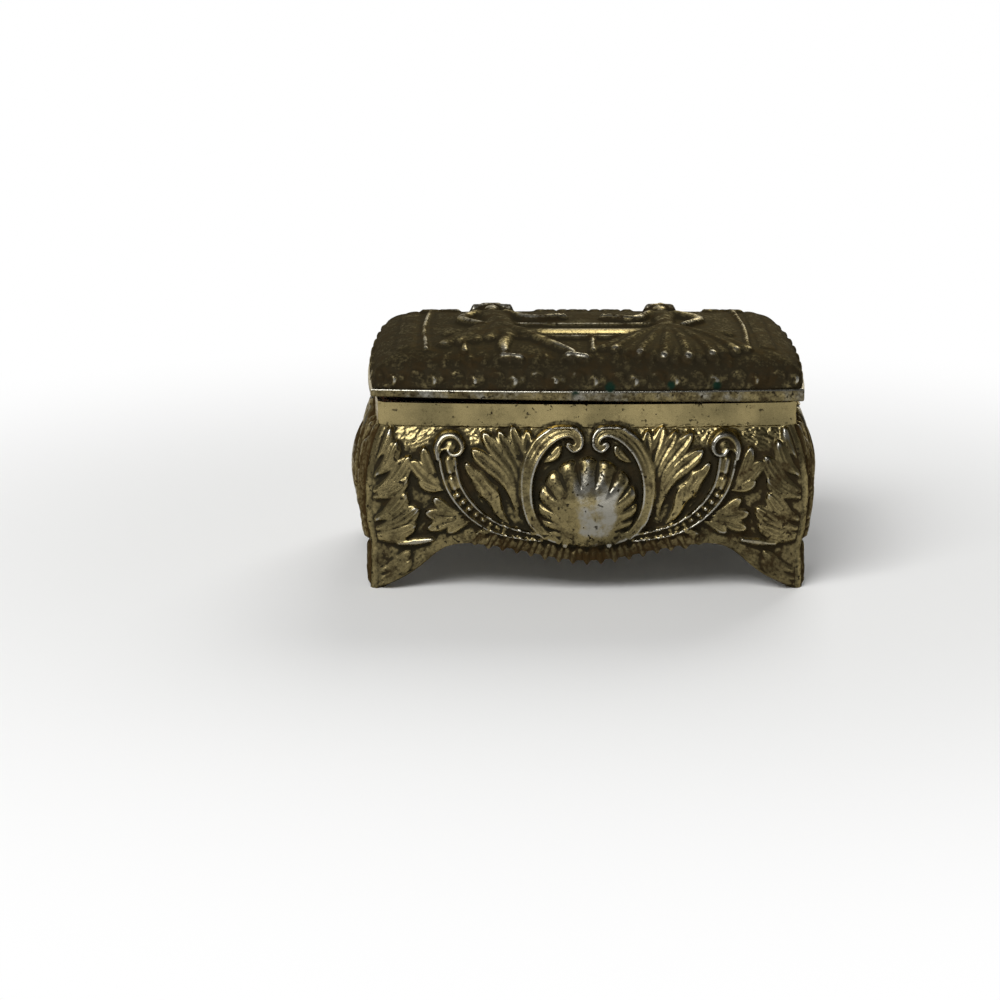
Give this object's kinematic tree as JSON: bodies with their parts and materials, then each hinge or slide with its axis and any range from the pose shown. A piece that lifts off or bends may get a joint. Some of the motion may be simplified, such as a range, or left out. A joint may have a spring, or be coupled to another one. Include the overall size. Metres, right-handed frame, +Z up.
{
  "type": "trinket box",
  "caption": "Small footed trinket box of cast metal with bellied, bowed walls in shell-and-scroll relief and a domed lid on a pinned back hinge.",
  "frame": {"origin": "on the table, under the middle of the box", "axes": "+X to the right end, -Y to the front, +Z up through the lid"},
  "size_m": [0.075, 0.0556, 0.0386],
  "materials": {
    "cast_metal": "worn gold plating over grey metal, dark patina in the hollows",
    "solder": "dull, brushed",
    "tinned_plate": "dull tinned sheet",
    "card": "plain card",
    "velvet": "short pile velvet",
    "hinge_brass": "aged",
    "pin_steel": "plain wire"
  },
  "bodies": {
    "box": {"front_panel": "cast_metal", "back_panel": "cast_metal", "left_panel": "cast_metal", "right_panel": "cast_metal", "front_left_seam": "solder", "front_right_seam": "solder", "back_left_seam": "solder", "back_right_seam": "solder", "floor_plate": "tinned_plate", "floor_solder_tacks": "solder", "floor_board": "card", "floor_pad": "velvet", "front_lining": "velvet", "back_lining": "velvet", "left_lining": "velvet", "right_lining": "velvet", "box_hinge_bracket": "hinge_brass", "hinge_pin": "pin_steel"},
    "lid": {"lid_shell": "cast_metal", "lid_hinge_left": "hinge_brass", "lid_hinge_right": "hinge_brass", "lid_board": "card", "lid_pad": "velvet"}
  },
  "joints": [
    {"name": "lid_hinge", "type": "hinge", "parent": "box", "child": "lid", "pos_m": [0, 0.0255, 0.02955], "axis": [-1, 0, 0], "range_deg": [0, 105]}
  ]
}
